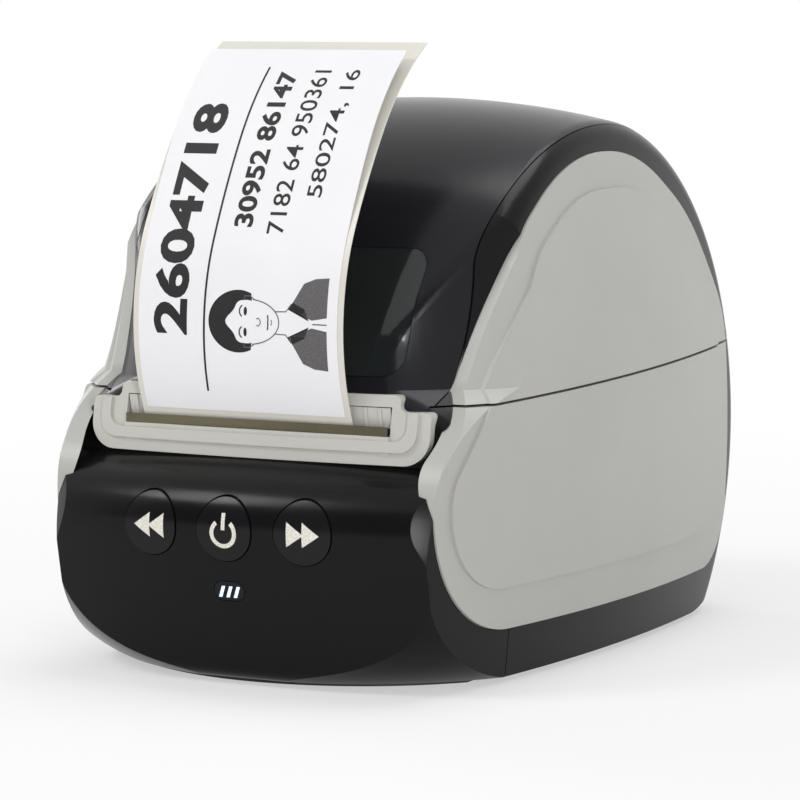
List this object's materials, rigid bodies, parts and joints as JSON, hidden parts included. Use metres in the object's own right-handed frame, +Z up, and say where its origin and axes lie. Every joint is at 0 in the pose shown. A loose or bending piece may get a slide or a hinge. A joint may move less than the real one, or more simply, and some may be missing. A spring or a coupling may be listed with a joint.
{
  "type": "label printer",
  "caption": "Compact desktop label printer with a curved hinged cover, grey side panels, three round front buttons and a printed label curling out of the slot.",
  "frame": {"origin": "on the table under the middle of the printer's bounding box", "axes": "+Z up, front with the paper slot and buttons towards -Y, +X to the right as seen by someone facing the back (the viewer's right when facing the front)"},
  "size_m": [0.127, 0.1876, 0.1518],
  "materials": {
    "case_dark": "glossy",
    "cover_dark": "glossy",
    "panel_grey": "matte",
    "window_clear": "glossy",
    "inner_dark": "matte",
    "tear_metal": "brushed",
    "steel": "brushed",
    "rubber_black": "matte",
    "rubber_grey": "matte",
    "label_paper": "matte",
    "liner_paper": "satin",
    "core_card": "matte",
    "board_green": "satin",
    "part_black": "satin",
    "ceramic_white": "glazed",
    "sink_aluminium": "brushed",
    "bearing_white": "satin",
    "button_dark": "satin",
    "light_blue": "glossy",
    "zinc": "satin"
  },
  "bodies": {
    "housing": {"front_housing": "case_dark", "rear_housing": "case_dark", "bottom_plate": "inner_dark", "rubber_feet": "rubber_grey", "base_screws": "zinc", "rating_plate": "label_paper", "slot_bezel": "panel_grey", "tear_bar": "tear_metal", "lower_side_panel_left": "panel_grey", "lower_side_panel_right": "panel_grey", "label_bay": "inner_dark", "print_chassis": "steel", "chassis_screws": "zinc", "paper_guide_lower": "inner_dark", "paper_guide_upper": "inner_dark", "label_sensor": "part_black", "main_board": "board_green", "board_screws": "zinc", "data_port": "zinc", "power_port": "part_black", "button_board": "board_green", "button_switches": "part_black", "status_light": "light_blue", "motor_body": "zinc", "idler_pin": "steel", "platen_bushes": "bearing_white", "print_head_bracket": "steel", "ceramic_head": "ceramic_white", "heat_sink": "sink_aluminium", "head_springs": "steel", "hinge_brackets": "inner_dark", "hinge_pins": "steel", "head_cable": "part_black", "button_cable": "part_black", "printed_label": "label_paper", "label_liner": "liner_paper"},
    "cover": {"cover_shell": "cover_dark", "cover_window": "window_clear", "cover_side_band_left": "case_dark", "cover_side_band_right": "case_dark", "upper_side_panel_left": "panel_grey", "upper_side_panel_right": "panel_grey", "cover_frame": "inner_dark"},
    "button_left": {"back_button": "button_dark"},
    "button_middle": {"power_button": "button_dark"},
    "button_right": {"feed_button": "button_dark"},
    "platen": {"platen_roller": "rubber_black", "platen_shaft": "steel", "platen_gear": "bearing_white"},
    "idler": {"idler_gear": "bearing_white"},
    "motor_rotor": {"motor_pinion": "bearing_white"},
    "spool": {"spool_spindle": "part_black", "locking_guide": "part_black", "roll_core": "core_card", "label_roll": "liner_paper"}
  },
  "joints": [
    {"name": "cover_hinge", "type": "hinge", "parent": "housing", "child": "cover", "pos_m": [0, 0.0915, 0.0722], "axis": [-1, 0, 0], "range_deg": [0, 88], "deforming": ["printed_label", "label_liner"]},
    {"name": "back_button_press", "type": "slide", "parent": "housing", "child": "button_left", "axis": [0.0834, 0.9724, 0.2181], "range_m": [0, 0.0008], "stiffness_N_per_m": 600},
    {"name": "power_button_press", "type": "slide", "parent": "housing", "child": "button_middle", "axis": [0, 0.9759, 0.2181], "range_m": [0, 0.0008], "stiffness_N_per_m": 600},
    {"name": "feed_button_press", "type": "slide", "parent": "housing", "child": "button_right", "axis": [-0.0834, 0.9724, 0.2181], "range_m": [0, 0.0008], "stiffness_N_per_m": 600},
    {"name": "spool_spin", "type": "hinge", "parent": "housing", "child": "spool", "pos_m": [0, 0.02, 0.074], "axis": [-1, 0, 0], "continuous": true},
    {"name": "platen_spin", "type": "hinge", "parent": "housing", "child": "platen", "pos_m": [0, -0.067, 0.0535], "axis": [-1, 0, 0], "continuous": true},
    {"name": "idler_spin", "type": "hinge", "parent": "housing", "child": "idler", "pos_m": [0.04, -0.062, 0.0446], "axis": [-1, 0, 0], "continuous": true},
    {"name": "motor_spin", "type": "hinge", "parent": "housing", "child": "motor_rotor", "pos_m": [0.035, -0.054, 0.0326], "axis": [-1, 0, 0], "continuous": true}
  ],
  "couplings": [
    {"joint": "platen_spin", "follows": "spool_spin", "ratio": -5.6667},
    {"joint": "idler_spin", "follows": "spool_spin", "ratio": 8.0952},
    {"joint": "motor_spin", "follows": "spool_spin", "ratio": -24.286}
  ]
}
